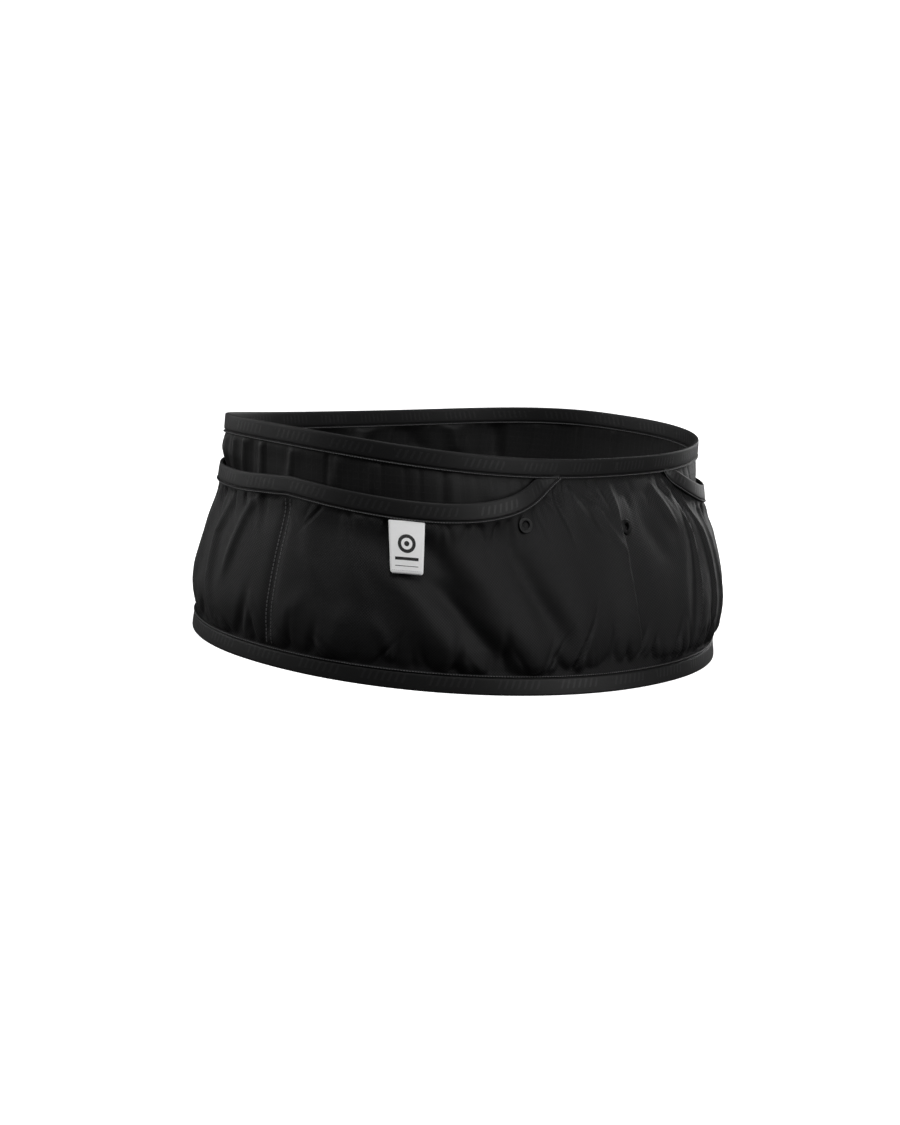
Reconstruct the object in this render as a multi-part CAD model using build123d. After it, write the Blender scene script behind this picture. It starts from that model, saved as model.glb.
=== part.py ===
from build123d import *
import os
from math import atan2, cos, exp, hypot, pi, radians, sin

# Stretch money belt: a tubular hip belt with an inner tube, three outer pockets and elastic bindings.
# Millimetres, +Z up, the wearer's front at -Y, left and right as seen from the front (left is -X).
# The origin is the centre of the footprint, on the lower edge.
# Every wall is written as wall(angle, height, offset): a superellipse that narrows from hem to waist.

# ---- driving dimensions (mm)
WAIST_HALF_WIDTH = 150.0        # waist loop, half size along X
WAIST_FRONT, WAIST_BACK = 104.5, 98.0   # waist loop, half depth ahead of and behind its widest line
WAIST_POWER = 2.52              # superellipse exponent of the waist loop
HEM_HALF_WIDTH = 157.0          # lower hem loop
HEM_FRONT, HEM_BACK = 146.5, 131.5
HEM_POWER = 2.08
HEIGHT = 118.3                  # mean height of the waist edge
HEIGHT_WAVE = 3.75              # the waist edge is this much higher at the sides, lower front and back
AXIS_Y = (HEM_FRONT - HEM_BACK) / 2     # widest line of both loops, so that the footprint is centred

TAPE_WIDTH = 10.0               # 20 mm fold-over elastic, folded
TAPE_LEAF = 0.8                 # one leaf of the folded tape
CLOTH = 0.8                     # one fabric panel
SLOT = 2.0                      # space between the leaves for two panels
TAPE_THICK = SLOT + 2 * TAPE_LEAF
LIP_THICK = 2.2                 # pocket tape with one panel edge in it
EDGE_GAP = 0.4                  # clearance between pieces that move apart
FIT_GAP = 0.2                   # clearance between pieces of one body

HEM_CLEAR = 1.2                 # panels start this far above the lower edge, inside the hem tape
BULGE_FRONT, BULGE_BACK = 7.5, 3.0      # how far the outer panels puff out
INNER_BOW = 6.2                 # how far the inner tube is drawn in behind the pockets
LIP_LOW = 83.3                  # upper edge of the outer panels along the pocket mouths
LIP_OUT_END, LIP_OUT_MID = 0.5, 5.2     # stand-off of a pocket lip at its ends and at its middle
SEAM_ANGLE = 184.0              # side seam on the wearer's right
TONGUE_HALF = 15.0              # half angle of the front tongue that runs up under the waist tape
SCOOP_END = 19.5                # the pocket tape ends this far from the centre front

EYELETS = ((242.6, 83.2), (267.4, 82.5))    # angle and height of the two cord eyelets
EYELET_R, EYELET_HOLE, EYELET_BARREL = 4.0, 2.0, 2.5    # radii of flange, hole and barrel
EYELET_FLANGE = 0.6             # thickness of the flange and of the washer behind the panel

LABEL_ANGLE, LABEL_WIDTH, LABEL_LENGTH, LABEL_THICK = 214.5, 18.0, 25.0, 0.9
LABEL_LIFT = 0.6                # space between the label and the panel behind it
LABEL_TOP = 0.6                 # space between the label's top and the pocket tape

THREAD_WIDTH, THREAD_THICK = 0.6, 0.3   # a row of stitches, as a flat line
THREAD_GAP = 0.06               # stitches lie this far off the tape
SEAM_THREAD_GAP = 0.2           # and this far off the panels, at the side seams
THREAD_INSET = 1.3              # stitch row to the free edge of the tape
SEAM_ROWS = (-1.1, 1.1)         # the two rows of a side seam, either side of it

SAMPLES = 96                    # spline points on a full loop
EVEN = 1.15                     # spreads them evenly along the superellipse
FRONT = radians(270)


# ---- the wall
def signed_power(value, power):
    return abs(value) ** power * (1 if value >= 0 else -1)


def loop_point(t, half_width, front, back, power):
    c, s = cos(t), sin(t)
    depth = front if s < 0 else back
    return half_width * signed_power(c, 2 / power), depth * signed_power(s, 2 / power)


def waist_z(t):
    return HEIGHT + HEIGHT_WAVE * cos(2 * t)


def base_point(t, z):
    x0, y0 = loop_point(t, HEM_HALF_WIDTH, HEM_FRONT, HEM_BACK, HEM_POWER)
    x1, y1 = loop_point(t, WAIST_HALF_WIDTH, WAIST_FRONT, WAIST_BACK, WAIST_POWER)
    k = z / waist_z(t)
    return x0 + (x1 - x0) * k, y0 + (y1 - y0) * k + AXIS_Y


def outward(t, z):
    step = 0.02
    (xa, ya), (xb, yb) = base_point(t - step, z), base_point(t + step, z)
    length = hypot(xb - xa, yb - ya)
    return (yb - ya) / length, -(xb - xa) / length


def wall(t, z, out):
    x, y = base_point(t, z)
    nx, ny = outward(t, z)
    return Vector(x + nx * out, y + ny * out, z)


def off_front(t):
    """Angle away from the centre front, in degrees, the same on both sides."""
    return abs((t - FRONT + pi) % (2 * pi) - pi) * 180 / pi


def smooth(x, low, high):
    k = min(1.0, max(0.0, (x - low) / (high - low)))
    return k * k * (3 - 2 * k)


SEAM_OFF = 270.0 - SEAM_ANGLE   # off_front of the side seams


def lip_low(t):
    """Lower edge of the pocket tape: level round the belt, rising in a scoop to the front tongue."""
    off = off_front(t)
    scoop = 6.0 * (1 - smooth(off, 20, 42)) + 24.0 * (1 - smooth(off, TONGUE_HALF - 2, 25))
    return min(LIP_LOW + scoop + 3.0 * exp(-((off - SEAM_OFF) / 14) ** 2), waist_z(t) - 1.6)


def lip_out(t):
    """Outer face of the pocket lips."""
    off = off_front(t)
    if off < SEAM_OFF:
        swell = smooth(off, SCOOP_END, SCOOP_END + 22) * (1 - smooth(off, SEAM_OFF - 22, SEAM_OFF))
    else:
        swell = smooth(off, SEAM_OFF, SEAM_OFF + 30)
    return LIP_OUT_END + (LIP_OUT_MID - LIP_OUT_END) * swell


def bulge(t):
    mean, half = (BULGE_FRONT + BULGE_BACK) / 2, (BULGE_FRONT - BULGE_BACK) / 2
    pinch = 1 - 0.6 * exp(-((off_front(t) - SEAM_OFF) / 11) ** 2)
    return (mean - half * sin(t)) * pinch


# ---- walls swept round the belt: one spline per corner of the section
# A corner is (height(t), offset(t)); t runs the whole loop, or from one angle to another with flat ends.
WHOLE = None


def const(value):
    return lambda t: value


def angles(span):
    """The spline points of a span: the same angles on every piece, plus the span's own ends."""
    turns = [2 * pi * (i + 0.5) / SAMPLES for i in range(-SAMPLES, 2 * SAMPLES)]
    spread = [
        2 * pi * ((i + 0.5) // SAMPLES) + atan2(signed_power(sin(u), EVEN), signed_power(cos(u), EVEN)) % (2 * pi)
        for i, u in zip(range(-SAMPLES, 2 * SAMPLES), turns)
    ]
    if span is WHOLE:
        return [a for a in spread if 0 <= a < 2 * pi]
    first, last = (radians(a) for a in span)
    clear = 0.4 * min(2 * pi / SAMPLES, last - first)
    inside = [a for a in spread if first + clear < a < last - clear]
    return [first, *(inside or [(first + last) / 2]), last]


def strip(a, b):
    """The face between two corner lines: flat where both closed lines lie level, ruled elsewhere."""
    box = Compound([a, b]).bounding_box()
    if a.is_closed and box.size.Z < 1e-6:
        outer, inner = sorted((Wire([a]), Wire([b])), key=lambda wire: -wire.length)
        return Face(outer, [inner])
    return Face.make_surface_from_curves(a, b)


def sweep(corners, span=WHOLE):
    """A solid through the corners, listed up the outer face and down the inner one."""
    turns = angles(span)
    lines = [
        Edge.make_spline([wall(t, height(t), out(t)) for t in turns], periodic=span is WHOLE)
        for height, out in corners
    ]
    faces = [strip(a, b) for a, b in zip(lines, lines[1:] + lines[:1])]
    if span is not WHOLE:
        for end in (0, 1):
            tips = [line.position_at(end) for line in lines]
            pairs = list(zip(tips, reversed(tips)))[: len(tips) // 2]
            rungs = [Edge.make_line(a, b) for a, b in pairs]
            faces += [Face.make_surface_from_curves(a, b) for a, b in zip(rungs, rungs[1:])]
    return Solid(Shell(faces))


def band(low, high, inner, outer, span=WHOLE):
    """A strip of rectangular section."""
    return sweep([(low, outer), (high, outer), (high, inner), (low, inner)], span)


def sheet(rows, thick, span=WHOLE):
    """A thin wall through rows of (height(t), middle offset(t)) from bottom to top."""
    half = thick / 2
    outer = [(height, lambda t, mid=mid: mid(t) + half) for height, mid in rows]
    inner = [(height, lambda t, mid=mid: mid(t) - half) for height, mid in reversed(rows)]
    return sweep(outer + inner, span)


def folded_tape(edge, sign):
    """Fold-over elastic round an edge: two leaves and a fold; sign is 1 with the fold on top."""
    slot_end = lambda t: edge(t) - sign * TAPE_LEAF
    free = lambda t: edge(t) - sign * TAPE_WIDTH
    a, b, c, d = [const(-x) for x in (0, TAPE_LEAF, TAPE_LEAF + SLOT, TAPE_THICK)]
    outer_leaf = [(edge, a), (free, a), (free, b), (slot_end, b)]
    inner_leaf = [(slot_end, c), (free, c), (free, d), (edge, d)]
    return sweep(outer_leaf + inner_leaf)


SEAM_SPLIT = 0.1                # half the gap between front and back panels, in degrees
FRONT_SPAN = (SEAM_ANGLE + SEAM_SPLIT, 540 - SEAM_ANGLE - SEAM_SPLIT)
BACK_SPAN = (180 - SEAM_ANGLE + SEAM_SPLIT, SEAM_ANGLE - SEAM_SPLIT)

# ---- bindings of the waist and the hem
waist_tape = folded_tape(waist_z, 1)
hem_tape = folded_tape(const(0.0), -1)

# ---- inner tube
INNER_MID = -TAPE_LEAF - SLOT + FIT_GAP / 2 + CLOTH / 2
inner_rows = [
    (const(HEM_CLEAR), const(INNER_MID)),
    (const(TAPE_WIDTH + 0.5), const(INNER_MID)),
    (const(30.0), const(-INNER_BOW)),
    (const(92.0), const(-INNER_BOW)),
    (lambda t: waist_z(t) - TAPE_WIDTH - 0.5, const(INNER_MID)),
    (lambda t: waist_z(t) - HEM_CLEAR, const(INNER_MID)),
]

# ---- outer panels
OUTER_MID = -TAPE_LEAF - FIT_GAP / 2 - CLOTH / 2


def tongue(t):
    """1 on the front tongue, falling to 0 along the scoops."""
    return 1 - smooth(off_front(t), SCOOP_END, SCOOP_END + 11)


def panel_edge_out(t):
    """Middle of the outer panel at its upper edge: below the pocket tape, or in the waist tape."""
    behind_lip = lip_out(t) - LIP_THICK / 2
    return behind_lip + (OUTER_MID - behind_lip) * tongue(t)


def outer_edge(t):
    return lip_low(t) - EDGE_GAP


def row_height(share):
    """Height of an outer panel row, as a share of the way from the hem tape to a tape's width below its edge."""
    low = TAPE_WIDTH + 0.5
    return lambda t: low + (outer_edge(t) - TAPE_WIDTH - 0.2 - low) * share


def upper_out(t):
    """Middle of the outer panel a tape's width below its edge."""
    puffed = 0.3 * bulge(t) + 0.7 * max(panel_edge_out(t), 0.5)
    return puffed + (OUTER_MID - puffed) * tongue(t)


outer_rows = [
    (const(HEM_CLEAR), const(OUTER_MID)),
    (const(TAPE_WIDTH + 0.5), const(OUTER_MID)),
    (row_height(0.22), lambda t: 0.72 * bulge(t)),
    (row_height(0.55), bulge),
    (row_height(1.0), upper_out),
    (outer_edge, panel_edge_out),
]


def panel_out(t, z):
    """Offset of the outer face of the outer panels."""
    rows = [(height(t), mid(t)) for height, mid in outer_rows]
    for (z0, mid0), (z1, mid1) in zip(rows, rows[1:]):
        if z <= z1:
            break
    return mid0 + (mid1 - mid0) * (z - z0) / (z1 - z0) + CLOTH / 2


def on_panel(angle, z):
    """A plane on the outer face of the outer panel: x along the loop, y up the wall, z outward."""
    t, step = radians(angle), 0.02
    at = lambda tt, zz: wall(tt, zz, panel_out(tt, zz))
    along, rise = at(t + step, z) - at(t - step, z), at(t, z + 1.5) - at(t, z - 1.5)
    return Plane(origin=at(t, z), x_dir=along.normalized(), z_dir=along.cross(rise).normalized())


# ---- eyelets through the front panel
def eyelet():
    flange_low = 0.15
    barrel_low = -CLOTH - EYELET_FLANGE - 0.6
    body = Pos(0, 0, flange_low + EYELET_FLANGE / 2) * Cylinder(EYELET_R, EYELET_FLANGE)
    body = fillet(body.edges().group_by(Axis.Z)[-1], 0.25)
    body += Pos(0, 0, (barrel_low + flange_low) / 2) * Cylinder(EYELET_BARREL, flange_low - barrel_low + 0.1)
    return body - Cylinder(EYELET_HOLE, 12)


def eyelet_washer():
    middle = -CLOTH - 0.25 - EYELET_FLANGE / 2
    return Pos(0, 0, middle) * (Cylinder(EYELET_R, EYELET_FLANGE) - Cylinder(EYELET_BARREL + 0.1, 2))


eyelet_planes = [on_panel(angle, z) for angle, z in EYELETS]
eyelet_holes = [plane * Cylinder(EYELET_BARREL + FIT_GAP, 8) for plane in eyelet_planes]

# ---- pocket lips: one tape in life, cut here at the side seams
LIP_SPLIT = 0.4                 # half the gap between neighbouring lips, in degrees
LEFT_SPAN = (SEAM_ANGLE + LIP_SPLIT, 270 - SCOOP_END)
RIGHT_SPAN = (540 - LEFT_SPAN[1], 540 - LEFT_SPAN[0])
REAR_SPAN = (180 - SEAM_ANGLE + LIP_SPLIT, SEAM_ANGLE - LIP_SPLIT)


def lip_high(t):
    """The tape runs up under the waist tape at the front ends of the scoops."""
    return min(lip_low(t) + TAPE_WIDTH, waist_z(t) - TAPE_WIDTH - EDGE_GAP)


def lip_tape(span):
    return band(lip_low, lip_high, lambda t: lip_out(t) - LIP_THICK, lip_out, span)


def stitches(height, face, span=WHOLE):
    """A row of stitches on a face of offset face(t)."""
    low = lambda t: height(t) - THREAD_WIDTH / 2
    high = lambda t: height(t) + THREAD_WIDTH / 2
    return band(low, high, lambda t: face(t) + THREAD_GAP, lambda t: face(t) + THREAD_GAP + THREAD_THICK, span)


def lip_stitches(span):
    inside = (span[0] + 0.3, span[1] - 0.3)
    return stitches(lambda t: lip_low(t) + THREAD_INSET, lip_out, inside)


# ---- side seams: two rows of stitches on the outer panels
seam_rows = [
    (height, lambda t, mid=mid: mid(t) + CLOTH / 2 + SEAM_THREAD_GAP + THREAD_THICK / 2)
    for height, mid in outer_rows[1:]
]


def seam_stitches(seam_angle):
    """The two rows, one on the front panel and one on the back panel."""
    per_degree = 2.4            # mm along the wall in one degree at the seam
    rows = []
    for offset in SEAM_ROWS:
        middle = seam_angle + offset / per_degree
        half = THREAD_WIDTH / 2 / per_degree
        rows.append(sheet(seam_rows, THREAD_THICK, (middle - half, middle + half)))
    return Compound(rows)


# ---- label: a folded tab hanging from the left pocket tape
label_t = radians(LABEL_ANGLE)
label_z = lip_low(label_t) - LABEL_TOP - LABEL_THICK / 2
label_stand = LABEL_LIFT + LABEL_THICK / 2
label_top = wall(label_t, label_z, panel_out(label_t, label_z) + label_stand)
label_foot = wall(label_t, label_z - LABEL_LENGTH, panel_out(label_t, label_z - LABEL_LENGTH) + label_stand)
label_down = (label_foot - label_top).normalized()
label_along = wall(label_t + 0.02, label_z, 0) - wall(label_t - 0.02, label_z, 0)
label_plane = Plane(
    origin=label_top,
    x_dir=label_along.normalized(),
    z_dir=label_along.cross(-label_down).normalized(),
)
label_blank = Pos(0, (LABEL_THICK - LABEL_LENGTH) / 2, 0) * Box(LABEL_WIDTH, LABEL_LENGTH, LABEL_THICK)
label = label_plane * fillet(label_blank.edges().filter_by(Axis.X), LABEL_THICK * 0.45)
label_row = Pos(0, LABEL_THICK / 2 - LABEL_LENGTH + 2.6, LABEL_THICK / 2 + THREAD_GAP + THREAD_THICK / 2)
label_thread = label_plane * label_row * Box(LABEL_WIDTH - 1.5, THREAD_WIDTH, THREAD_THICK)

# ---- pieces
outer_front = sheet(outer_rows, CLOTH, FRONT_SPAN)
for hole in eyelet_holes:
    outer_front -= hole


def at_eyelets(make):
    return Compound([solid for plane in eyelet_planes for solid in (plane * make()).solids()])


pieces = {
    "waist_binding": waist_tape,
    "waist_stitching": stitches(lambda t: waist_z(t) - TAPE_WIDTH + THREAD_INSET, const(0.0)),
    "hem_binding": hem_tape,
    "hem_stitching": stitches(const(TAPE_WIDTH - THREAD_INSET), const(0.0)),
    "inner_front_panel": sheet(inner_rows, CLOTH, FRONT_SPAN),
    "inner_back_panel": sheet(inner_rows, CLOTH, BACK_SPAN),
    "outer_front_panel": outer_front,
    "outer_back_panel": sheet(outer_rows, CLOTH, BACK_SPAN),
    "left_pocket_binding": lip_tape(LEFT_SPAN),
    "left_pocket_stitching": lip_stitches(LEFT_SPAN),
    "right_pocket_binding": lip_tape(RIGHT_SPAN),
    "right_pocket_stitching": lip_stitches(RIGHT_SPAN),
    "back_pocket_binding": lip_tape(REAR_SPAN),
    "back_pocket_stitching": lip_stitches(REAR_SPAN),
    "left_seam_stitching": seam_stitches(SEAM_ANGLE),
    "right_seam_stitching": seam_stitches(540 - SEAM_ANGLE),
    "eyelets": at_eyelets(eyelet),
    "eyelet_washers": at_eyelets(eyelet_washer),
    "label": label,
    "label_stitching": label_thread,
}

os.makedirs("parts", exist_ok=True)
for name, shape in pieces.items():
    export_step(shape, f"parts/{name}.step")
    print(name, len(shape.solids()), shape.is_valid, round(shape.volume), shape.bounding_box().size)
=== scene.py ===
import math

import bpy
import numpy as np
from mathutils import Matrix


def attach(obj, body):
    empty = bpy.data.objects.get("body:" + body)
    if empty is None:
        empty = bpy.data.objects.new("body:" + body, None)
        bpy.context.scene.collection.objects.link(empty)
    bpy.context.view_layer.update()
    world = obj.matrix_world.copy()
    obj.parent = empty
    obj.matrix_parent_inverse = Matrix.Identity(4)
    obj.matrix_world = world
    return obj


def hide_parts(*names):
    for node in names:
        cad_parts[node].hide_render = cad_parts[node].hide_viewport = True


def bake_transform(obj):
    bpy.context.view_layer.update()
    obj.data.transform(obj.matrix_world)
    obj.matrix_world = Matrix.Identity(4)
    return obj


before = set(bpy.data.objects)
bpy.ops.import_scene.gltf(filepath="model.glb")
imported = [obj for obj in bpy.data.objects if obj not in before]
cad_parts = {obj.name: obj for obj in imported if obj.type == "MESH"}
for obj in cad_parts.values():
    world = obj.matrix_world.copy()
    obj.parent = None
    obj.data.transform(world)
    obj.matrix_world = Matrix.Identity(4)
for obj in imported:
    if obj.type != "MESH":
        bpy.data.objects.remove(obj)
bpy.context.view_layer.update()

MM = 0.001                      # a millimetre, in metres
RAD = math.pi / 180             # a degree, in radians
RNG = np.random.default_rng(11)

# ---- the belt's own shape, in millimetres, as in the CAD -----------------------------------------
WAIST_HALF_WIDTH, WAIST_FRONT, WAIST_BACK, WAIST_POWER = 150.0, 104.5, 98.0, 2.52
HEM_HALF_WIDTH, HEM_FRONT, HEM_BACK, HEM_POWER = 157.0, 146.5, 131.5, 2.08
HEIGHT, HEIGHT_WAVE, AXIS_Y = 118.3, 3.75, 7.5
SEAM = 184.0                    # angle of the side seam on the -X side; the other one is its mirror
SEAM_OFF = 270 - SEAM
TAPE_HALF = 5.0                 # half the width of the folded elastic tape
PATTERN_PITCH = 34.4            # repeat of the woven pattern along the tape
MIDDLE_HEIGHT = 60.0            # where distances round the belt are measured
NEARBY = 0.02                   # radians to each side, to find the direction along the wall
# length of the wall for an angle, near enough: at a fold and at a side seam (mm per degree), at the front
# and in the cloth's UV map (mm per radian)
FOLD_PER_DEGREE, SEAM_PER_DEGREE, FRONT_PER_RADIAN, UV_PER_RADIAN = 2.35, 2.4, 134, 140.0


def signed_power(value, power):
    """A power that keeps the value's sign."""
    return np.sign(value) * np.abs(value) ** power


def waist_z(t):
    """Height of the waist edge, which dips at the front and the back."""
    return HEIGHT + HEIGHT_WAVE * np.cos(2 * t)


def loop_xy(t, half_width, front, back, power):
    """A point of a superellipse whose front and back halves differ in depth."""
    c, s = np.cos(t), np.sin(t)
    return half_width * signed_power(c, 2 / power), np.where(s < 0, front, back) * signed_power(s, 2 / power)


def base_xy(t, z):
    """A point of the plain wall, straight from the hem loop to the waist loop."""
    x0, y0 = loop_xy(t, HEM_HALF_WIDTH, HEM_FRONT, HEM_BACK, HEM_POWER)
    x1, y1 = loop_xy(t, WAIST_HALF_WIDTH, WAIST_FRONT, WAIST_BACK, WAIST_POWER)
    k = z / waist_z(t)
    return x0 + (x1 - x0) * k, y0 + (y1 - y0) * k + AXIS_Y


def wall(t, z, out):
    """Points on the wall at angle t (radians), height z and offset out, in mm."""
    t, z, out = np.broadcast_arrays(np.asarray(t, float), z, out)
    x, y = base_xy(t, z)
    (xa, ya), (xb, yb) = base_xy(t - NEARBY, z), base_xy(t + NEARBY, z)
    length = np.hypot(xb - xa, yb - ya)
    return np.stack([x + (yb - ya) / length * out, y - (xb - xa) / length * out, z], -1)


def slope(t):
    """How far the wall spreads outwards for each mm down, near enough along its outward direction."""
    top, foot = wall(t, waist_z(t), 0), wall(t, 0.0, 0)
    return np.linalg.norm((foot - top)[..., :2], axis=-1) / waist_z(t)


def off_front(t):
    """Degrees away from the centre front, the same on both sides."""
    return np.abs((np.asarray(t) / RAD - 270 + 180) % 360 - 180)


def smooth(x, low, high):
    """0 up to low, 1 from high on, with an even change between them."""
    k = np.clip((np.asarray(x, float) - low) / (high - low), 0, 1)
    return k * k * (3 - 2 * k)


def bell(x, width, middle=0.0):
    """1 at the middle, falling to nothing on both sides."""
    return np.exp(-(((x - middle) / width) ** 2))


def knots(x, pairs):
    """A smooth curve through given (x, y) pairs."""
    xs, ys = np.array(pairs, float).T
    rise = np.gradient(ys, xs)
    x = np.clip(x, xs[0], xs[-1])
    i = np.clip(np.searchsorted(xs, x) - 1, 0, len(xs) - 2)
    h = xs[i + 1] - xs[i]
    u = (x - xs[i]) / h
    a, b = (1 + 2 * u) * (1 - u) ** 2, u * (1 - u) ** 2
    c, d = u * u * (3 - 2 * u), u * u * (u - 1)
    return a * ys[i] + b * h * rise[i] + c * ys[i + 1] + d * h * rise[i + 1]


def run_along(points):
    """Distance along a path of points, from its first."""
    return np.concatenate([[0], np.cumsum(np.linalg.norm(np.diff(points, axis=0), axis=1))])


def unit(vectors):
    """The vectors at length 1."""
    return vectors / np.linalg.norm(vectors, axis=-1, keepdims=True)


def even_angles(first, last, step):
    """Angles in radians from first to last (degrees), evenly spaced along the wall, about step mm apart."""
    t = np.linspace(first * RAD, last * RAD, 4000)
    run = run_along(wall(t, MIDDLE_HEIGHT, 0))
    count = max(2, int(round(run[-1] / step)) + 1)
    return np.interp(np.linspace(0, run[-1], count), run, t)


# distance round the belt from the centre front, for the gathers
LOOP_T = np.linspace(-90 * RAD, 270 * RAD, 7201)
LOOP_S = run_along(wall(LOOP_T, MIDDLE_HEIGHT, 0))
LOOP = float(LOOP_S[-1])


def along(t):
    """Distance in mm round the belt from the centre front, counterclockwise."""
    return np.interp((np.asarray(t) + 90 * RAD) % (2 * math.pi) - 90 * RAD, LOOP_T, LOOP_S)


# ---- where the tapes run -------------------------------------------------------------------------
LIP_MIDDLE = [  # (degrees from the centre front, height of the tape's middle)
    (10, 114), (13.8, 109.6), (16.8, 104.6), (21.8, 98.4), (28.6, 92.8), (36, 89.6), (44, 88.3),
    (54, 88.4), (64, 89.4), (75, 90.8), (83, 91.9), (86, 92.2), (90, 91.2), (98, 89.6), (110, 88.8),
    (135, 88.5), (180, 88.5),
]
LIP_STAND = [  # (degrees anticlockwise from the +X axis, how far the tape's face stands out)
    (-8, 0.6), (10, 0.2), (40, 0.6), (90, 3.0), (140, -1.4), (165, -2.0), (184, -0.6), (200, 1.6),
    (220, 3.0), (238, 2.4), (243, 1.6), (247, -0.2), (250, -1.8), (252.5, -2.85), (254, -2.3), (256, -1.3),
    (258, -1.2), (270, -1.2), (282, -1.2), (284, -1.3), (286, -2.3), (287.5, -2.85), (290, -1.8),
    (293, -0.2), (298, 1.4), (312, 2.2), (335, 1.8), (352, 0.6),
]
LIP_SHOWS = (16.5, 21)          # a pocket tape comes out from under the waist tape between these, in degrees
LIP_TUCK = 0.4                  # how far its hidden end stands out from the tucked cloth
WAIST_LEAN = 0.85               # the waist tape's face, between sloping like the wall (0) and upright (1)
LEAF = 1.0                      # from the face of the waist tape to the cloth between its leaves


def waist_stand(t):
    """The waist tape stands out a little more on the right."""
    return -0.9 + 1.5 * bell(np.asarray(t) / RAD % 360, 22, 325)


def waist_tuck(t, z):
    """Where cloth lies between the leaves of the waist tape, down to the tape's lower edge."""
    below_middle = np.clip(waist_z(t) - TAPE_HALF - z, -1, 5.3)
    return waist_stand(t) - LEAF - WAIST_LEAN * slope(t) * below_middle


def lip_middle(t):
    return knots(off_front(t), LIP_MIDDLE)


def lip_stand(t):
    degrees = (np.asarray(t) / RAD + 8) % 360 - 8
    tucked = waist_tuck(t, lip_middle(t)) + LIP_TUCK
    return tucked + (knots(degrees, LIP_STAND) - tucked) * smooth(off_front(t), *LIP_SHOWS)


# ---- folds and gathers ---------------------------------------------------------------------------
class Noise:
    """Smooth random values along the closed loop of the belt."""

    def __init__(self, wavelength):
        self.count = max(4, int(round(LOOP / wavelength)))
        self.values = RNG.uniform(-1, 1, self.count)

    def __call__(self, s):
        x = np.asarray(s, float) * self.count / LOOP
        i = np.floor(x).astype(int)
        f = x - i
        f = f * f * (3 - 2 * f)
        return self.values[i % self.count] * (1 - f) + self.values[(i + 1) % self.count] * f


class Gathers:
    """Cloth drawn in at height 0: tight valleys of random depth, reach and lean, over broader waves."""

    def __init__(self, spacing, depth, width, reach, lean, wave):
        count = int(round(LOOP / spacing))
        self.place = (np.arange(count) + RNG.uniform(-0.4, 0.4, count)) * LOOP / count
        self.depth = depth * RNG.uniform(0.15, 1, count)
        self.width = width * RNG.uniform(0.6, 1.5, count)
        self.reach = reach * RNG.uniform(0.4, 1.3, count)
        self.lean = RNG.normal(0, lean, count)
        self.wave, self.wave_height, self.wave_reach = Noise(wave[0]), wave[1], wave[2]
        self.sway = Noise(60)

    def __call__(self, s, height):
        s, height = np.broadcast_arrays(s, np.maximum(height, 0))
        total = self.wave_height * self.wave(s + 0.4 * height * self.sway(s))
        total = total * np.exp(-height / self.wave_reach)
        valleys = zip(self.place, self.depth, self.width, self.reach, self.lean)
        for place, depth, width, reach, lean in valleys:
            side = (s - place - lean * height + LOOP / 2) % LOOP - LOOP / 2
            total = total - depth * np.exp(-((side / width) ** 2) - (height / reach) ** 2)
        return total


# a fold fades over these shares of its length, past its ends and inside them
FOLD_FADE = np.array([0.15, 0.35])


def fold(t, z, path, height, width, sharp):
    """A ridge along given (degrees, height) points; sharp above 1 makes its right-hand side steeper."""
    zs, ts = np.array(sorted((p[1], p[0]) for p in path), float).T
    centre = np.interp(z, zs, ts)
    lean = np.gradient(ts, zs).mean() * FOLD_PER_DEGREE
    side = ((np.asarray(t) / RAD) % 360 - centre) * FOLD_PER_DEGREE / math.hypot(1, lean)
    wide = np.where(side > 0, width / sharp, width)
    past, within = FOLD_FADE * (zs[-1] - zs[0])
    lower = smooth(z, zs[0] - past, zs[0] + within)
    upper = smooth(z, zs[-1] - within, zs[-1] + past)
    return height * bell(side, wide) * (lower * (1 - upper))


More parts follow.
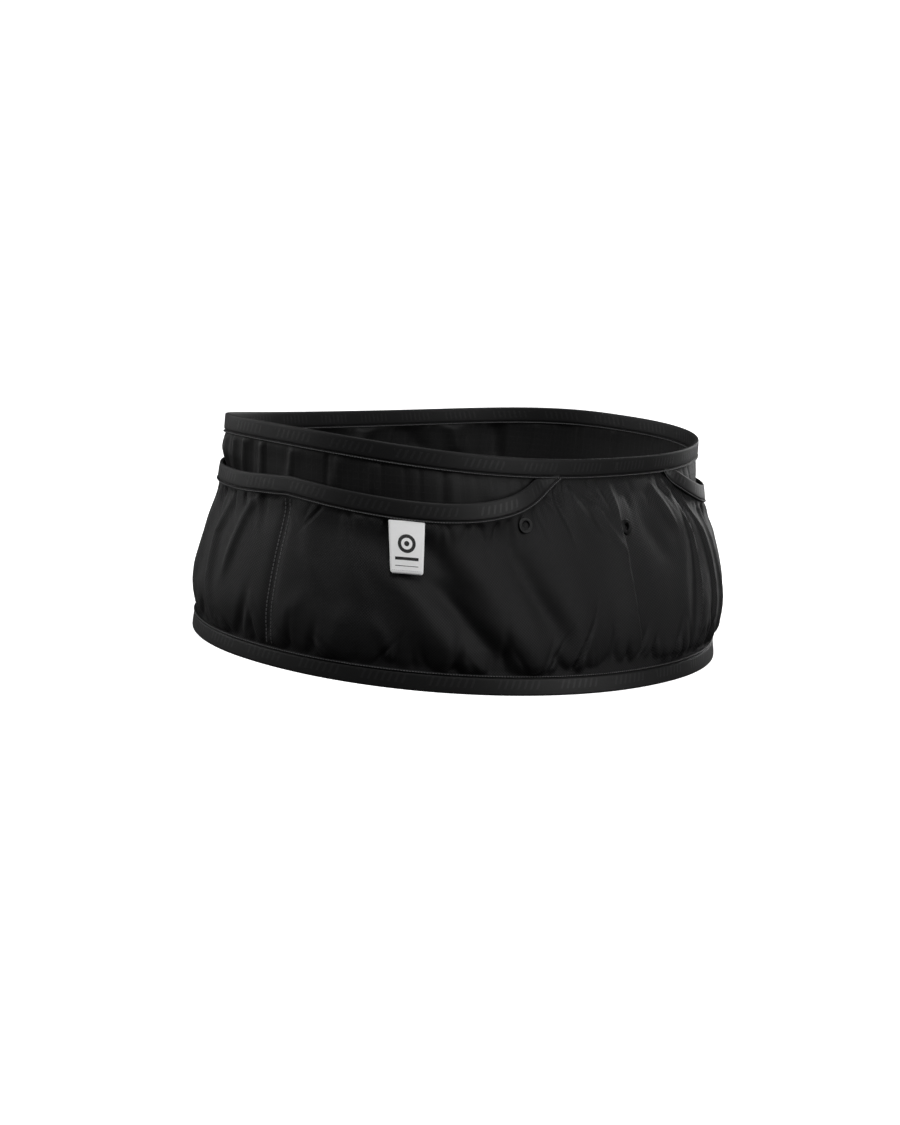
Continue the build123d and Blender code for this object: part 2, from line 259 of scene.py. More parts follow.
# each: path of (degrees, height) points, height (below 0 a valley), width, sharpness
FRONT_FOLDS = [
    ([(208, 66), (216, 47), (223, 22), (227, 6)], 3.5, 9.0, 1.15),
    ([(218, 78), (223, 60), (227, 40)], -3.2, 8.0, 1.0),
    ([(227, 80), (231, 58), (235, 38), (240, 10)], 3.5, 11.0, 1.1),
    ([(219, 58), (227, 36), (231.5, 22), (233, 6)], -4.4, 6.5, 1.0),
    ([(237, 84), (242, 52), (248, 22)], -3.4, 6.5, 1.0),
    ([(248, 92), (250, 60), (254, 16)], 2.4, 10.0, 1.1),
    ([(257, 106), (258, 94), (262, 74)], 1.3, 2.6, 1.0),
    ([(263, 104), (263, 84), (266, 66)], 1.6, 2.6, 1.5),
    ([(269, 108), (266.2, 82), (265.2, 60), (264.6, 40), (265.4, 10)], 3.2, 7.0, 4.5),
    ([(272, 100), (273, 80), (276, 60)], -1.6, 5.0, 1.0),
    ([(277, 106), (279, 90), (281, 78)], 1.3, 2.2, 1.4),
    ([(280, 108), (284.5, 92), (286, 72), (285.5, 50), (283, 28), (281.5, 2)], 2.6, 1.8, 1.2),
    ([(282, 100), (284, 75), (280, 50), (276, 14)], 1.6, 7.0, 1.0),
    ([(290, 104), (293, 72), (293.5, 50), (292, 25), (290, 2)], 2.6, 2.0, 1.2),
    ([(292, 90), (291, 60), (286, 14)], 1.6, 8.0, 1.0),
    ([(298, 98), (302, 66), (303, 40), (299, 4)], 1.8, 3.0, 1.0),
    ([(312, 86), (316, 60), (312, 20)], 2.0, 6.0, 1.0),
    ([(330, 86), (327, 50), (330, 12)], 2.0, 7.0, 1.0),
    ([(190, 84), (192, 60), (196, 44)], 1.2, 5.0, 1.0),
    ([(200, 84), (203, 60), (206, 40)], 1.4, 6.0, 1.0),
    ([(187, 12), (189, 30), (192, 44)], 1.0, 5.0, 1.0),
    ([(199, 12), (201, 30), (202, 40)], 1.2, 5.0, 1.0),
    ([(211, 12), (210, 24), (208, 36)], 1.2, 4.0, 1.0),
]
BACK_FOLDS = [
    ([(176, 86), (173, 73), (171, 58), (169, 38)], 1.8, 3.0, 1.0),
    ([(166, 86), (162, 60), (163, 36), (166, 14)], 2.4, 4.0, 1.0),
    ([(155, 86), (152, 60), (150, 20)], 2.0, 6.0, 1.0),
    ([(138, 84), (134, 50), (137, 12)], 2.2, 8.0, 1.0),
    ([(118, 84), (121, 50), (116, 12)], 2.0, 9.0, 1.0),
    ([(96, 84), (92, 50), (95, 12)], 2.4, 9.0, 1.0),
    ([(74, 84), (78, 52), (72, 12)], 2.0, 9.0, 1.0),
    ([(52, 84), (48, 50), (53, 12)], 2.2, 8.0, 1.0),
    ([(30, 84), (33, 50), (28, 12)], 2.0, 6.0, 1.0),
    ([(14, 84), (12, 50), (15, 12)], 2.0, 5.0, 1.0),
    ([(4, 84), (6, 60), (5, 30)], 1.6, 4.0, 1.0),
]
# the waist tube's own folds, seen above the pockets and across the inside
TUBE_FOLDS = [
    ([(156, 124), (157, 82)], 1.9, 1.7, 0.6),
    ([(163, 124), (163.5, 82)], 1.9, 1.7, 0.6),
    ([(169.5, 124), (168, 82)], 1.8, 1.8, 0.6),
    ([(176.5, 124), (175, 82)], 1.3, 2.0, 0.6),
    ([(184.5, 124), (182, 82)], 1.4, 2.2, 0.6),
    ([(197, 112), (195, 92)], 0.7, 4.0, 1.0),
    ([(207, 112), (206, 90)], 0.8, 4.0, 1.0),
    ([(228, 110), (227, 88)], 0.8, 4.0, 1.0),
    ([(238, 108), (237, 92)], 0.7, 3.0, 1.0),
    ([(100, 116), (101, 70)], -3.0, 2.6, 1.0),
    ([(94, 112), (90, 84)], 2.8, 5.0, 1.0),
    ([(84, 112), (88, 80)], -2.8, 5.0, 1.0),
    ([(76, 108), (66, 86)], 2.8, 6.0, 1.0),
    ([(60, 110), (54, 84)], -2.6, 6.0, 1.0),
    ([(44, 112), (41, 80)], 2.4, 6.0, 1.0),
]


def folds(t, z, table):
    return sum(fold(t, z, *row) for row in table)


# ---- how far each panel stands out ---------------------------------------------------------------
# (height, offset) from the foot up; the outer cloth bulges most at the front and the right
OUTER_FRONT_RIGHT = [
    (0, -1.6), (9.4, -1.9), (10.6, -1.3), (12.2, 1.0), (15, 3.2), (20, 5.2),
    (30, 7.0), (43, 7.4), (58, 6.2), (70, 4.2), (80, 2.2), (92, 0.8),
]
OUTER_BACK_LEFT = [
    (0, -1.6), (9.4, -2.1), (10.6, -1.8), (12.2, -0.6), (15, 0.6), (20, 1.8),
    (30, 3.0), (43, 2.2), (58, 0.4), (70, -1.6), (80, -3.0), (92, -3.6),
]
OUTER_HEIGHT, OUTER_LEAST = 92.0, 88.0  # height of these profiles, and the lowest panel they are shrunk to
# the outer cloth never sinks below its floor; the tube's profile is that of the inner cloth
OUTER_FLOOR = [(0, -1.7), (9, -2.0), (11, -1.6), (17, -0.5), (26, -0.7), (40, -2.8), (60, -4.4), (125, -4.6)]
TUBE_PROFILE = [(0, -1.7), (9, -2.0), (13, -4.4), (30, -7.0), (88, -5.6), (100, -4.2), (125, -3.6)]
CLEARANCE = 0.5                 # the outer cloth stays this far outside the inner cloth
FLOOR_SHARPNESS = 2.5           # the larger, the more suddenly the outer cloth stops at that floor
SEAM_DIP = 1.3
TONGUE_ENDS = (16, 26)          # between these, in degrees, a pocket tape takes over from the waist tape
# spacing, depth, width, reach and lean of the valleys; wavelength, height and reach of the waves
HEM_GATHERS = Gathers(7.0, 4.8, 1.9, 15.0, 0.35, (14.0, 2.6, 20.0))
LIP_GATHERS = Gathers(8.5, 2.0, 1.6, 11.0, 0.30, (15.0, 1.0, 16.0))
TONGUE_GATHERS = Gathers(8.0, 4.8, 1.9, 13.0, 0.35, (16.0, 2.0, 24.0))
TUBE_GATHERS = Gathers(13.0, 0.8, 1.3, 30.0, 0.05, (22.0, 0.45, 40.0))


def tube_out(t, z):
    """Offset of the waist tube, the inner cloth; depth is measured down from the waist tape's middle."""
    t, z = np.broadcast_arrays(t, z)
    depth = waist_z(t) - TAPE_HALF - z
    rightness = 0.5 + 0.5 * np.cos(t - 315 * RAD)
    out = knots(z, TUBE_PROFILE) + 2.0 * rightness * smooth(z, 60, 95)
    out = out + (waist_tuck(t, z) - 0.2 - out) * bell(np.maximum(depth - 5.4, 0), 6.0)
    detail = folds(t, z, TUBE_FOLDS) * smooth(depth, 4.6, 7)
    detail = detail + TUBE_GATHERS(along(t), depth - 5) * smooth(depth, 4.6, 7) * smooth(z, 8, 30)
    behind_tape_end = bell(off_front(t), 4.5, 17) * smooth(depth, 4.6, 8) * (1 - smooth(depth, 16, 28))
    detail = detail - 1.9 * behind_tape_end
    left_side = bell(t / RAD, 16, 150)
    return out + detail + left_side * (2.4 * bell(z, 6, 101) - 1.2 * bell(z, 8, 84))


def outer_top(t):
    """The outer panels end under the middle of the pocket tape, and at the front under the waist tape."""
    return np.minimum(lip_middle(t), waist_z(t) - 4.5)


def outer_lean(t):
    """How steeply the outer panels' top edge rises along the belt."""
    step = 0.03
    return (outer_top(t + step) - outer_top(t - step)) / (2 * step) / FRONT_PER_RADIAN


def outer_bulge(t, z, depth, tongue):
    """Offset of the outer cloth without folds: its two profiles mixed, then tucked under its top tape."""
    rightness = 0.5 + 0.5 * np.cos(t - 305 * RAD)
    share = z * OUTER_HEIGHT / np.maximum(outer_top(t), OUTER_LEAST)
    out = knots(share, OUTER_FRONT_RIGHT) * rightness + knots(share, OUTER_BACK_LEFT) * (1 - rightness)
    tuck = waist_tuck(t, z) * tongue + (lip_stand(t) - 0.9) * (1 - tongue)
    return out + (tuck - out) * bell(np.maximum(depth - 6.6, 0), 9.0)


def outer_detail(t, z, depth, tongue):
    """The outer cloth's folds, and the gathers at its hem and at its top tape."""
    s = along(t)
    detail = folds(t, z, FRONT_FOLDS + BACK_FOLDS) * (smooth(z, 9.5, 16) * smooth(depth, 4.5, 10))
    front = 1 - smooth(off_front(t), 30, 60)
    hem = HEM_GATHERS(s, z - 11) * (0.6 + 0.5 * front)
    detail = detail + hem * smooth(z, 9.8, 12.0) * smooth(depth, 3, 12)
    lips = LIP_GATHERS(s, depth - 6) * (1 - tongue)
    yoke = TONGUE_GATHERS(s, depth - 6) * tongue
    return detail + (lips + yoke) * smooth(depth, 4.8, 7.5) * smooth(z, 14, 30)


def outer_out(t, z):
    """Offset of the outer cloth, with a dip at the side seams, and always outside the inner cloth. depth is
    measured from its top edge, square to it, and tongue is 1 where that edge is under the waist tape."""
    t, z = np.broadcast_arrays(t, z)
    depth = (outer_top(t) - z) / np.hypot(1, outer_lean(t))
    tongue = 1 - smooth(off_front(t), *TONGUE_ENDS)
    from_seam = (off_front(t) - SEAM_OFF) * SEAM_PER_DEGREE
    quiet = 1 - 0.85 * bell(from_seam, 6.0)
    out = outer_bulge(t, z, depth, tongue) + outer_detail(t, z, depth, tongue) * quiet
    out = out - SEAM_DIP * bell(from_seam, 3.2) * smooth(z, 10, 20) * smooth(depth, 5, 12)
    floor = knots(z, OUTER_FLOOR)
    clear = tube_out(t, z) + CLEARANCE - floor
    floor = floor + np.maximum(clear, 0) * smooth(z, 10, 14) * smooth(depth, 4.6, 7.5)
    return floor + np.logaddexp(0, (out - floor) * FLOOR_SHARPNESS) / FLOOR_SHARPNESS


# ---- meshes --------------------------------------------------------------------------------------
def new_object(name, verts, faces, uv=None, normals=None):
    """A smooth mesh from points in mm."""
    mesh = bpy.data.meshes.new(name)
    mesh.from_pydata((np.asarray(verts) * MM).tolist(), [], [list(map(int, f)) for f in faces])
    mesh.polygons.foreach_set("use_smooth", [True] * len(mesh.polygons))
    if uv is not None:
        layer = mesh.uv_layers.new(name="UVMap")
        loops = np.zeros(len(mesh.loops), np.int32)
        mesh.loops.foreach_get("vertex_index", loops)
        layer.data.foreach_set("uv", (np.asarray(uv)[loops]).astype(np.float32).ravel())
    mesh.update()
    if normals is not None:
        mesh.normals_split_custom_set_from_vertices(normals.tolist())
    obj = bpy.data.objects.new(name, mesh)
    bpy.context.scene.collection.objects.link(obj)
    return obj


def grid_faces(rows, columns, closed_rows=False, closed_columns=False):
    """Quads between the points of a grid, which may close on itself either way."""
    i = np.arange(rows if closed_rows else rows - 1)[:, None]
    j = np.arange(columns if closed_columns else columns - 1)[None, :]
    a, b = i * columns + j, ((i + 1) % rows) * columns + j
    c, d = ((i + 1) % rows) * columns + (j + 1) % columns, i * columns + (j + 1) % columns
    return np.stack([a, b, c, d], -1).reshape(-1, 4)


def cloth(name, angles, high, out, rows):
    """A panel over the angles, from inside the hem tape to height high(t), with offset out(t, z)."""
    step = angles[1] - angles[0]
    wide = np.concatenate([[angles[0] - step], angles, [angles[-1] + step]])
    share = np.linspace(0, 1, rows)
    t = wide[:, None] + 0 * share
    z = HEM_IN + (high(t) - HEM_IN) * share
    points = wall(t, z, out(t, z))
    du, dv = np.gradient(points, axis=0), np.gradient(points, axis=1)
    normals = unit(np.cross(du, dv))
    uv = np.stack([t * UV_PER_RADIAN, z], -1)
    keep = slice(1, -1)
    count = len(angles)
    return new_object(
        name, points[keep].reshape(-1, 3), grid_faces(count, rows),
        uv[keep].reshape(-1, 2), normals[keep].reshape(-1, 3),
    )


# outer face of the folded tape, from its free edge to its fold: (across, out)
TAPE_FACE = [
    (-5.0, -0.75), (-5.06, -0.4), (-5.0, 0.0), (-4.85, 0.22), (-4.55, 0.3), (-4.25, 0.2), (-4.08, -0.1),
    (-3.95, -0.5), (-3.75, -0.62), (-3.55, -0.5), (-3.42, -0.12), (-3.2, 0.04), (-2.4, 0.1), (0.0, 0.14),
    (3.0, 0.1), (4.2, 0.04), (4.7, -0.1), (4.94, -0.38),
]
STITCHED = -4.55                # the stitches' place across the tape
TAPE_THICK, LIP_THICK = 2.0, 1.6


def tape_section(thick):
    """The whole folded tape as a closed outline."""
    face = np.array(TAPE_FACE)
    back = face[::-1] * [1, -1] - [0, thick]
    return np.concatenate([face, [[TAPE_HALF, -thick / 2]], back])


def path_frames(centre, normal, tangent=None):
    """Tangent, outward and across directions along a path of points."""
    tangent = unit(np.gradient(centre, axis=0) if tangent is None else tangent)
    across = unit(np.cross(normal, tangent))
    return tangent, np.cross(tangent, across), across


def wall_normal(t, z, out, lean=0.0):
    """The wall's outward direction; lean 0 follows the wall's slope, 1 makes it level."""
    turn, rise = 0.01, 2.0
    du = wall(t + turn, z, out) - wall(t - turn, z, out)
    dv = wall(t, z + rise, out) - wall(t, z - rise, out)
    upright = np.array([0, 0, 1.0]) * np.linalg.norm(dv, axis=-1, keepdims=True)
    return unit(np.cross(du, dv * (1 - lean) + upright * lean))


def tape(name, t, middle, stand, lean, thick, closed, flip=False, flat=1.0):
    """A folded tape whose face's middle runs at height middle(t) and offset stand(t). flip puts its fold
    below. flat presses it thinner, along its length if it is an array."""
    turn = 0.006
    centre, after, before = [wall(a, middle(a), stand(a)) for a in (t, t + turn, t - turn)]
    normal = wall_normal(t, middle(t), stand(t), lean)
    tangent, outward, across = path_frames(centre, normal, after - before)
    section = tape_section(thick)
    if flip:
        section = section[::-1] * [-1, 1]
    edge = unit(np.roll(section, -1, axis=0) - np.roll(section, 1, axis=0))
    lift = section[None, :, 1:] * np.broadcast_to(flat, t.shape)[:, None, None]
    points = centre[:, None] + section[None, :, :1] * across[:, None] + lift * outward[:, None]
    normals = edge[None, :, :1] * outward[:, None] - edge[None, :, 1:] * across[:, None]
    run = run_along(centre)
    uv = np.stack(np.broadcast_arrays(run[:, None], section[None, :, 0] + TAPE_HALF), -1)
    count, size = points.shape[:2]
    obj = new_object(
        name, points.reshape(-1, 3), grid_faces(count, size, closed, True),
        uv.reshape(-1, 2), normals.reshape(-1, 3),
    )
    return obj, (centre, tangent, outward, across)


# one stitch: (share of length, share of height) along it, (share of width, share of height) round it
STITCH = np.array([(-0.5, 0.0), (-0.3, 0.7), (0.3, 0.7), (0.5, 0.0)])
STITCH_ROUND = np.array([(-0.5, -0.4), (-0.35, 0.6), (0, 1), (0.35, 0.6), (0.5, -0.4)])
# pitch, length, width and height of the stitches
TAPE_STITCH, SEAM_STITCH, LABEL_STITCH = (1.45, 0.95, 0.42, 0.3), (2.1, 1.5, 0.55, 0.3), (1.0, 0.7, 0.3, 0.12)


def stitches(name, centre, tangent, outward, pitch, length, width, height):
    """A row of raised stitches along a path."""
    run = run_along(centre)
    at = np.arange(pitch / 2, run[-1], pitch)
    paths = (centre, tangent, outward)
    c, d, n = [np.stack([np.interp(at, run, path[:, k]) for k in range(3)], -1) for path in paths]
    d = unit(d)
    w = np.cross(n, d)
    points = (
        c[:, None, None]
        + STITCH[None, :, None, :1] * length * d[:, None, None]
        + STITCH_ROUND[None, None, :, :1] * width * w[:, None, None]
        + (STITCH_ROUND[None, None, :, 1:] * (0.35 + STITCH[None, :, None, 1:])) * height * n[:, None, None]
    )
    faces = grid_faces(len(STITCH), len(STITCH_ROUND))
    first = len(STITCH) * len(STITCH_ROUND) * np.arange(len(at))
    return new_object(name, points.reshape(-1, 3), (faces[None] + first[:, None, None]).reshape(-1, 4))


def join(name, objects):
    """Several meshes as one."""
    bpy.ops.object.select_all(action="DESELECT")
    for o in objects:
        o.select_set(True)
    bpy.context.view_layer.objects.active = objects[0]
    bpy.ops.object.join()
    objects[0].name = name
    objects[0].select_set(False)
    return objects[0]


# ---- materials -----------------------------------------------------------------------------------
class Nodes:
    """A material, its shader and small helpers that add nodes; u and v are millimetres on the cloth."""

    def __init__(self, name):
        self.material = bpy.data.materials.new(name)
        self.material.use_nodes = True
        self.tree = self.material.node_tree
        self.shader = self.tree.nodes["Principled BSDF"]

    def link(self, socket, value):
        if isinstance(value, (int, float)):
            socket.default_value = value
        else:
            self.tree.links.new(value, socket)

    def maths(self, operation, *values):
        node = self.tree.nodes.new("ShaderNodeMath")
        node.operation = operation
        for socket, value in zip(node.inputs, values):
            self.link(socket, value)
        return node.outputs[0]

    def uv(self):
        node = self.tree.nodes.new("ShaderNodeUVMap")
        node.uv_map = "UVMap"
        split = self.tree.nodes.new("ShaderNodeSeparateXYZ")
        self.tree.links.new(node.outputs[0], split.inputs[0])
        return split.outputs[0], split.outputs[1]

    def noise(self, scale):
        place = self.tree.nodes.new("ShaderNodeTexCoord")
        node = self.tree.nodes.new("ShaderNodeTexNoise")
        node.inputs["Scale"].default_value = scale
        node.inputs["Detail"].default_value = 2.0
        self.tree.links.new(place.outputs["Object"], node.inputs["Vector"])
        return node.outputs[0]

    def phase(self, value, pitch):
        """0 to 1 over each pitch."""
        return self.maths("FRACT", self.maths("DIVIDE", value, pitch))

    def wave(self, value, pitch):
        """From a half to 0 and back over each pitch."""
        return self.maths("ABSOLUTE", self.maths("SUBTRACT", self.phase(value, pitch), 0.5))

    def band(self, value, pitch, share):
        """1 over the first share of each pitch, 0 over the rest."""
        return self.maths("LESS_THAN", self.phase(value, pitch), share)

    def bump(self, height, strength, distance):
        node = self.tree.nodes.new("ShaderNodeBump")
        node.inputs["Strength"].default_value = strength
        node.inputs["Distance"].default_value = distance
        self.tree.links.new(height, node.inputs["Height"])
        self.tree.links.new(node.outputs[0], self.shader.inputs["Normal"])

    def colour(self, dark, light, share):
        node = self.tree.nodes.new("ShaderNodeMix")
        node.data_type = "RGBA"
        self.link(node.inputs[0], share)
        node.inputs[6].default_value = (*dark, 1)
        node.inputs[7].default_value = (*light, 1)
        self.tree.links.new(node.outputs[2], self.shader.inputs["Base Color"])

    def finish(self, roughness, sheen=0.0, sheen_roughness=0.4, specular=0.5):
        """Sets the shader's other values and gives back the material."""
        inputs = self.shader.inputs
        self.link(inputs["Roughness"], roughness)
        inputs["Sheen Weight"].default_value = sheen
        inputs["Sheen Roughness"].default_value = sheen_roughness
        inputs["Specular IOR Level"].default_value = specular
        return self.material


TWILL_PITCH, RIPSTOP_PITCH, RIB_PITCH, BAR_PITCH = 1.5, 3.65, 0.7, 3.44         # mm
RIPSTOP_LINE = 0.06             # share of the pitch taken by half a thick thread
GROUP_SHARE, BAR_SHARE, BAR_SLANT = 0.70, 0.36, 0.35    # the tape's groups of bars
BARS_MIDDLE, BARS_HALF = 5.6, 2.2       # their middle, up from the tape's lower edge, and half their height
GRAIN = 900                     # scale of the fine noise on both cloths


def outer_cloth():
    """Black twill, whose threads shine a little more than the gaps between them."""
    n = Nodes("outer_cloth")
    u, v = n.uv()
    twill = n.wave(n.maths("ADD", u, v), TWILL_PITCH)
    cross = n.wave(n.maths("SUBTRACT", u, v), TWILL_PITCH)
    weave = n.maths("MULTIPLY", n.maths("ADD", twill, 0.3), n.maths("ADD", cross, 0.5))
    n.bump(n.maths("ADD", weave, n.maths("MULTIPLY", n.noise(GRAIN), 0.15)), 0.8, 0.00035)
    n.colour((0.0012, 0.0012, 0.0013), (0.0120, 0.0120, 0.0126), n.maths("MULTIPLY", weave, 1.5))
    rough = n.maths("SUBTRACT", 0.66, n.maths("MULTIPLY", weave, 0.16))
    return n.finish(rough, sheen=0.02, sheen_roughness=0.3, specular=0.215)


def inner_cloth():
    """Thin black ripstop with a grid of thicker threads."""
    n = Nodes("inner_cloth")
    u, v = n.uv()
    line_u = n.maths("LESS_THAN", n.wave(u, RIPSTOP_PITCH), RIPSTOP_LINE)
    line_v = n.maths("LESS_THAN", n.wave(v, RIPSTOP_PITCH), RIPSTOP_LINE)
    rip = n.maths("MAXIMUM", line_u, line_v)
    n.bump(n.maths("ADD", rip, n.maths("MULTIPLY", n.noise(GRAIN), 0.4)), 0.4, 0.0002)
    n.colour((0.0040, 0.0040, 0.0042), (0.0065, 0.0065, 0.0068), n.maths("MULTIPLY", rip, 0.6))
    return n.finish(0.62, sheen=0.015, sheen_roughness=0.3, specular=0.27)


def elastic():
    """Ribbed tape with groups of slanting bars woven into its middle."""
    n = Nodes("elastic_tape")
    u, v = n.uv()
    rib = n.wave(u, RIB_PITCH)
    group = n.band(u, PATTERN_PITCH, GROUP_SHARE)
    slanting = n.maths("SUBTRACT", u, n.maths("MULTIPLY", v, BAR_SLANT))
    bar = n.band(slanting, BAR_PITCH, BAR_SHARE)
    inside = n.maths("LESS_THAN", n.maths("ABSOLUTE", n.maths("SUBTRACT", v, BARS_MIDDLE)), BARS_HALF)
    mark = n.maths("MULTIPLY", n.maths("MULTIPLY", group, bar), inside)
    n.bump(n.maths("ADD", n.maths("MULTIPLY", rib, 0.4), n.maths("MULTIPLY", mark, 0.8)), 0.35, 0.0002)
    n.colour((0.0055, 0.0055, 0.0058), (0.0125, 0.0125, 0.0131), mark)
    rough = n.maths("SUBTRACT", 0.55, n.maths("MULTIPLY", mark, 0.07))
    return n.finish(rough, sheen=0.02, sheen_roughness=0.3, specular=0.28)


def plain(name, colour, roughness, sheen=0.0, specular=0.5):
    """A material of one colour."""
    n = Nodes(name)
    n.shader.inputs["Base Color"].default_value = (*colour, 1)
    return n.finish(roughness, sheen=sheen, specular=specular)


def ribbon():
    """White woven label."""
    n = Nodes("label_ribbon")
    u, v = n.uv()
    weave = n.maths("ADD", n.wave(u, 0.5), n.wave(v, 0.35))
    n.bump(weave, 0.25, 0.00015)
    n.colour((0.93, 0.93, 0.93), (0.98, 0.98, 0.98), n.noise(500))
    return n.finish(0.75, specular=0.3)


OUTER, INNER, ELASTIC = outer_cloth(), inner_cloth(), elastic()
THREAD = plain("thread", (0.115, 0.115, 0.118), 0.5, sheen=0.02, specular=0.2)
EYELET = plain("eyelet_metal", (0.005, 0.005, 0.0052), 0.40, specular=0.2)
LABEL, LABEL_INK = ribbon(), plain("label_ink", (0.012, 0.012, 0.012), 0.6)
LABEL_THREAD = plain("label_thread", (0.6, 0.6, 0.61), 0.7)


def dress(obj, material):
    """Gives a piece its material."""
    obj.data.materials.clear()
    obj.data.materials.append(material)


# ---- panels --------------------------------------------------------------------------------------
# mm between a panel's columns of points, and its number of rows
STEP = 1.15
INNER_STEP = STEP * 1.15
ROWS = 92
HEM_IN = 3.5                    # panels start this far above the lower edge, inside the hem tape
TONGUE_EDGE = 20.0              # the middle piece of the front panel ends this far from the centre front
SPLIT = (270 - TONGUE_EDGE, 270 + TONGUE_EDGE)
OTHER_SEAM = 540 - SEAM


def outer_piece(name, first, last):
    return cloth(name, even_angles(first, last, STEP), outer_top, outer_out, ROWS)


def inner_piece(name, first, last):
    return cloth(name, even_angles(first, last, INNER_STEP), lambda t: waist_z(t) - 4.0, tube_out, ROWS)


outer_left = outer_piece("outer_cloth_left", SEAM, SPLIT[0])
outer_mid = outer_piece("outer_cloth_middle", *SPLIT)
outer_right = outer_piece("outer_cloth_right", SPLIT[1], OTHER_SEAM)
outer_back = outer_piece("outer_cloth_back", 180 - SEAM, SEAM)
inner_front = inner_piece("inner_cloth_front", SEAM, OTHER_SEAM)
inner_back = inner_piece("inner_cloth_back", 180 - SEAM, SEAM)

# ---- tapes and their stitches --------------------------------------------------------------------
TAPE_STEP = 1.3  # mm along the tapes
LIP_END = 14.2                  # a pocket tape's end, in degrees from the centre front
THREAD_LIFT = 0.2               # the stitches' middle above the tape


def stitch_line(frames, across, out, closed):
    """A path beside a tape's middle line, with its tangent and outward directions."""
    centre, tangent, outward, side = frames
    line = centre + side * across + outward * out
    if closed:
        line, tangent, outward = [np.concatenate([a, a[:1]]) for a in (line, tangent, outward)]
    return line, tangent, outward


def tape_stitches(name, frames, closed, across, thick):
    """Both sides of the row of stitches along a tape's free edge."""
    outside = stitches(name, *stitch_line(frames, across, THREAD_LIFT, closed), *TAPE_STITCH)
    line, tangent, outward = stitch_line(frames, across, -thick - THREAD_LIFT, closed)
    inside = stitches(f"{name}_inside", line, tangent, -outward, *TAPE_STITCH)
    return join(name, [outside, inside])


def pocket_tape(side, first, last):
    """A pocket's tape and its stitches, pressed flatter where it goes under the waist tape."""
    t = even_angles(first, last, TAPE_STEP)
    flat = 0.5 + 0.5 * smooth(off_front(t), 16, 28)
    obj, frames = tape(f"{side}_pocket_tape", t, lip_middle, lip_stand, 0.0, LIP_THICK, False, flat=flat)
    return obj, tape_stitches(f"{side}_pocket_stitches", frames, False, STITCHED, LIP_THICK)


ring = even_angles(-90, 270, TAPE_STEP)[:-1]
waist_tape, waist_frames = tape(
    "waist_tape", ring, lambda t: waist_z(t) - TAPE_HALF, waist_stand, WAIST_LEAN, TAPE_THICK, True
)
hem_tape, hem_frames = tape(
    "hem_tape", ring, lambda t: TAPE_HALF, lambda t: -0.4, 0.1, TAPE_THICK, True, flip=True
)
waist_stitches = tape_stitches("waist_stitches", waist_frames, True, STITCHED, TAPE_THICK)
hem_stitches = tape_stitches("hem_stitches", hem_frames, True, -STITCHED, TAPE_THICK)
left_lip, left_lip_stitches = pocket_tape("left", SEAM, 270 - LIP_END)
right_lip, right_lip_stitches = pocket_tape("right", 270 + LIP_END, OTHER_SEAM)
back_lip, back_lip_stitches = pocket_tape("back", 180 - SEAM, SEAM)

# ---- side seams ----------------------------------------------------------------------------------
SEAM_ROWS = (-1.5, 1.5)         # mm to each side of a seam
SEAM_FOOT, SEAM_BELOW_LIP = 11.5, 6.0   # where a seam's rows start, and end below the tape's middle


def seam_stitches(name, seam):
    """Two rows of stitches, one on each side of a seam, from the hem tape up to the pocket tape."""
    rows = []
    for side in SEAM_ROWS:
        z = np.linspace(SEAM_FOOT, float(lip_middle(seam * RAD)) - SEAM_BELOW_LIP, 60)
        t = (seam + side / SEAM_PER_DEGREE) * RAD + 0 * z
        points = wall(t, z, outer_out(t, z) + 0.05)
        normal = wall_normal(t, z, outer_out(t, z))
        tangent, outward, _ = path_frames(points, normal)
        rows.append(stitches(f"{name}_{len(rows)}", points, tangent, outward, *SEAM_STITCH))
    return join(name, rows)


left_seam = seam_stitches("left_seam_stitches", SEAM)
right_seam = seam_stitches("right_seam_stitches", OTHER_SEAM)

# ---- eyelets -------------------------------------------------------------------------------------
EYELETS = ((243.8, 83.2, 0.3), (267.6, 80.8, 1.3))      # (degrees, height, lift off the cloth)
EYELET_BESIDE = (1.0, 1.8)      # the cloth that an eyelet is level with, in degrees to its right
EYELET_RING = [                 # (radius, out)
    (2.0, -1.6), (2.0, 0.2), (2.2, 0.55), (2.6, 0.7), (3.0, 0.6), (3.2, 0.45), (3.5, 0.6), (3.9, 0.62),
    (4.2, 0.35), (4.25, -0.3),
]
WASHER_RING = [(2.6, -1.0), (4.0, -1.0), (4.0, -1.6), (2.6, -1.6)]


def turned(name, places, profile, closed=False):
    """The profile (radius, out), turned about the wall's outward direction at each place: (degrees, height,
    offset)."""
    verts, faces = [], []
    profile = np.array(profile)
    turns = np.linspace(0, 2 * math.pi, 41)[:-1]
    for angle, z, out in places:
        t = np.array([angle * RAD])
        n = wall_normal(t, np.array([z]), np.array([out]))[0]
        x = unit(np.cross([0, 0, 1.0], n))
        spokes = np.cos(turns)[:, None] * x + np.sin(turns)[:, None] * np.cross(n, x)
        centre = wall(t, z, out)[0]
        points = centre + spokes[:, None] * profile[None, :, :1] + n * profile[None, :, 1:]
        start = len(verts)
        verts += points.reshape(-1, 3).tolist()
        faces += (grid_faces(len(turns), len(profile), True, closed)[:, ::-1] + start).tolist()
    return new_object(name, np.array(verts), faces)


eyelet_places = []
for angle, z, lift in EYELETS:
    beside = (angle + np.array(EYELET_BESIDE)) * RAD
    eyelet_places.append((angle, z, float(outer_out(beside, z + 0 * beside).max()) + lift))
eyelets = turned("eyelet_rings", eyelet_places, EYELET_RING)
washers = turned("eyelet_backs", eyelet_places, WASHER_RING, True)

